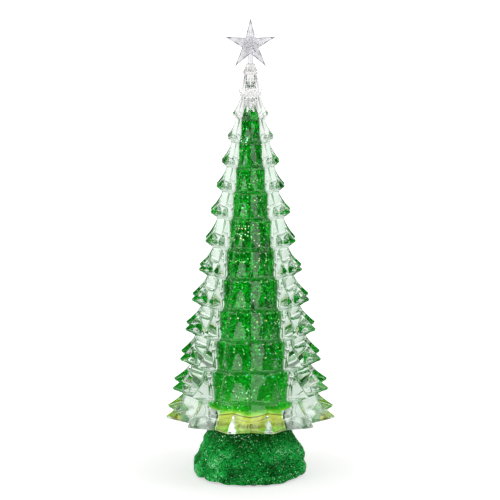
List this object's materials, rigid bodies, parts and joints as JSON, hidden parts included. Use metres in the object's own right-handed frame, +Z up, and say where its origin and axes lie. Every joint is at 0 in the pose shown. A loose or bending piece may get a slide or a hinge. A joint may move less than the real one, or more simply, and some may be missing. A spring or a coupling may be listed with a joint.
{
  "type": "water lantern christmas tree",
  "caption": "Clear pleated tree lantern filled with green glitter liquid, star on top, on a rock-shaped glitter base with lamp, magnetic stirrer and battery box.",
  "frame": {"origin": "centre of the underside of the feet, on the surface that the lantern stands on", "axes": "+Z up along the tree's axis, -Y towards the front of the star, +X to the right seen from the front"},
  "size_m": [0.1696, 0.1696, 0.4607],
  "materials": {
    "clear_acrylic": "polished clear moulding",
    "green_glitter_liquid": "green liquid full of glitter flakes",
    "green_glitter_coat": "glitter stuck on a moulded rock",
    "black_rubber": "matte",
    "black_plastic": "fine moulded grain",
    "white_plastic": "satin moulding",
    "white_solder_mask": "coated circuit board",
    "green_solder_mask": "coated circuit board",
    "clear_epoxy": "clear cast lens, lit",
    "steel": "bright zinc or bare steel",
    "nickel": "nickel plate",
    "cell_sleeve": "plain printed sleeve",
    "red_vinyl": "lead insulation",
    "black_vinyl": "lead insulation",
    "white_vinyl": "lead insulation"
  },
  "bodies": {
    "lantern": {"base_shell": "green_glitter_coat", "base_plate": "black_plastic", "base_screw_1": "steel", "base_screw_2": "steel", "base_screw_3": "steel", "foot_1": "black_rubber", "foot_2": "black_rubber", "foot_3": "black_rubber", "foot_4": "black_rubber", "battery_box": "black_plastic", "battery_cell_1": "cell_sleeve", "battery_cell_2": "cell_sleeve", "battery_cell_3": "cell_sleeve", "contact_plate_1": "nickel", "contact_plate_2": "nickel", "contact_plate_3": "nickel", "contact_spring_1": "nickel", "contact_spring_2": "nickel", "contact_spring_3": "nickel", "control_board": "green_solder_mask", "control_chip": "black_plastic", "switch_body": "steel", "battery_lead_red": "red_vinyl", "battery_lead_black": "black_vinyl", "motor_lead_red": "red_vinyl", "motor_lead_black": "black_vinyl", "led_lead": "white_vinyl", "motor_can": "steel", "motor_screw_1": "steel", "motor_screw_2": "steel", "motor_bracket": "white_plastic", "bracket_screw_1": "steel", "bracket_screw_2": "steel", "bracket_screw_3": "steel", "led_board": "white_solder_mask", "led_1": "clear_epoxy", "led_2": "clear_epoxy", "led_3": "clear_epoxy", "led_4": "clear_epoxy", "tank_plug": "clear_acrylic", "plug_o_ring": "black_rubber", "fill_stopper": "black_rubber", "impeller_pin": "steel", "pin_washer": "white_plastic", "tree_body": "clear_acrylic", "glitter_liquid": "green_glitter_liquid", "star_topper": "clear_acrylic"},
    "stirrer": {"impeller": "white_plastic", "impeller_magnet_1": "nickel", "impeller_magnet_2": "nickel"},
    "drive": {"motor_shaft": "steel", "magnet_carrier": "white_plastic", "drive_magnet_1": "nickel", "drive_magnet_2": "nickel"},
    "knob": {"switch_knob": "white_plastic"},
    "door": {"battery_door": "black_plastic"}
  },
  "joints": [
    {"name": "motor_spin", "type": "hinge", "parent": "lantern", "child": "drive", "pos_m": [0, 0, 0.064], "axis": [0, 0, 1], "continuous": true},
    {"name": "impeller_spin", "type": "hinge", "parent": "lantern", "child": "stirrer", "pos_m": [0, 0, 0.0753], "axis": [0, 0, 1], "continuous": true},
    {"name": "switch_slide", "type": "slide", "parent": "lantern", "child": "knob", "axis": [0, 1, 0], "range_m": [0, 0.004]},
    {"name": "battery_door_hinge", "type": "hinge", "parent": "lantern", "child": "door", "pos_m": [-0.02695, 0, 0.0029], "axis": [0, 1, 0], "range_deg": [0, 95]}
  ],
  "couplings": [
    {"joint": "impeller_spin", "follows": "motor_spin", "ratio": 1}
  ]
}
